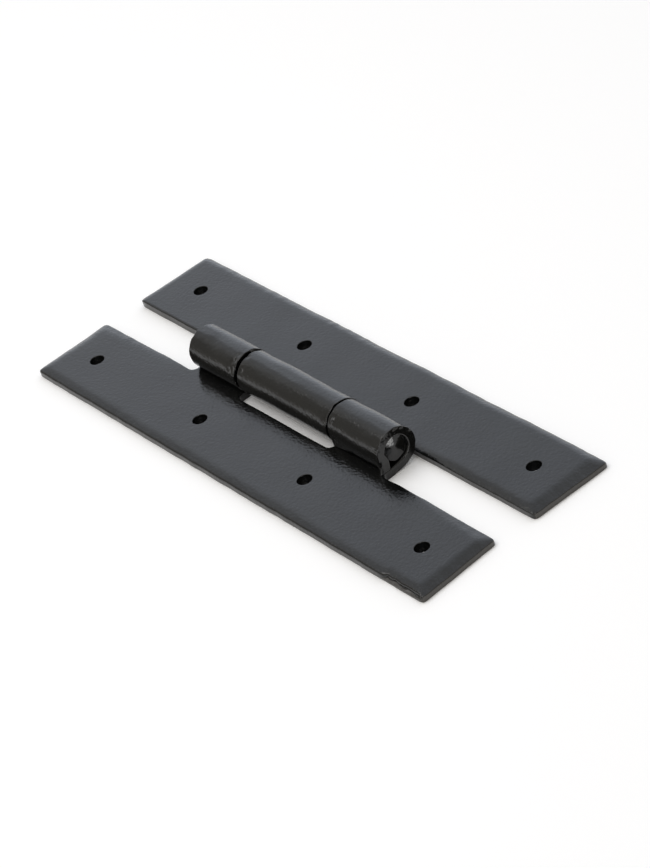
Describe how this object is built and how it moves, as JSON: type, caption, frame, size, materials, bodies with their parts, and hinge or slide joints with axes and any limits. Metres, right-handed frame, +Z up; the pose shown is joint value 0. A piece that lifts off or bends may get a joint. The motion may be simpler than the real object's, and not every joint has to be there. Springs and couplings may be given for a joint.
{
  "type": "h hinge",
  "caption": "Forged-look H hinge lying open: long bevelled leaves side by side, joined by a short rolled barrel with a fixed pin, with plain screw holes along each leaf.",
  "frame": {"origin": "on the surface that the leaves lie on, at the middle of the open hinge", "axes": "+X along the pin, +Y from the leaf with two knuckles to the leaf with one, +Z up out of the leaves' faces"},
  "size_m": [0.1794, 0.0628, 0.0131],
  "materials": {
    "black_coat": "satin black coat over steel"
  },
  "bodies": {
    "end_knuckle_side": {"end_knuckle_leaf": "black_coat", "hinge_pin": "black_coat"},
    "middle_knuckle_side": {"middle_knuckle_leaf": "black_coat"}
  },
  "joints": [
    {"name": "leaf_fold", "type": "hinge", "parent": "end_knuckle_side", "child": "middle_knuckle_side", "pos_m": [0, 0.00055, 0.00685], "axis": [1, 0, 0], "range_deg": [-60, 190]}
  ]
}
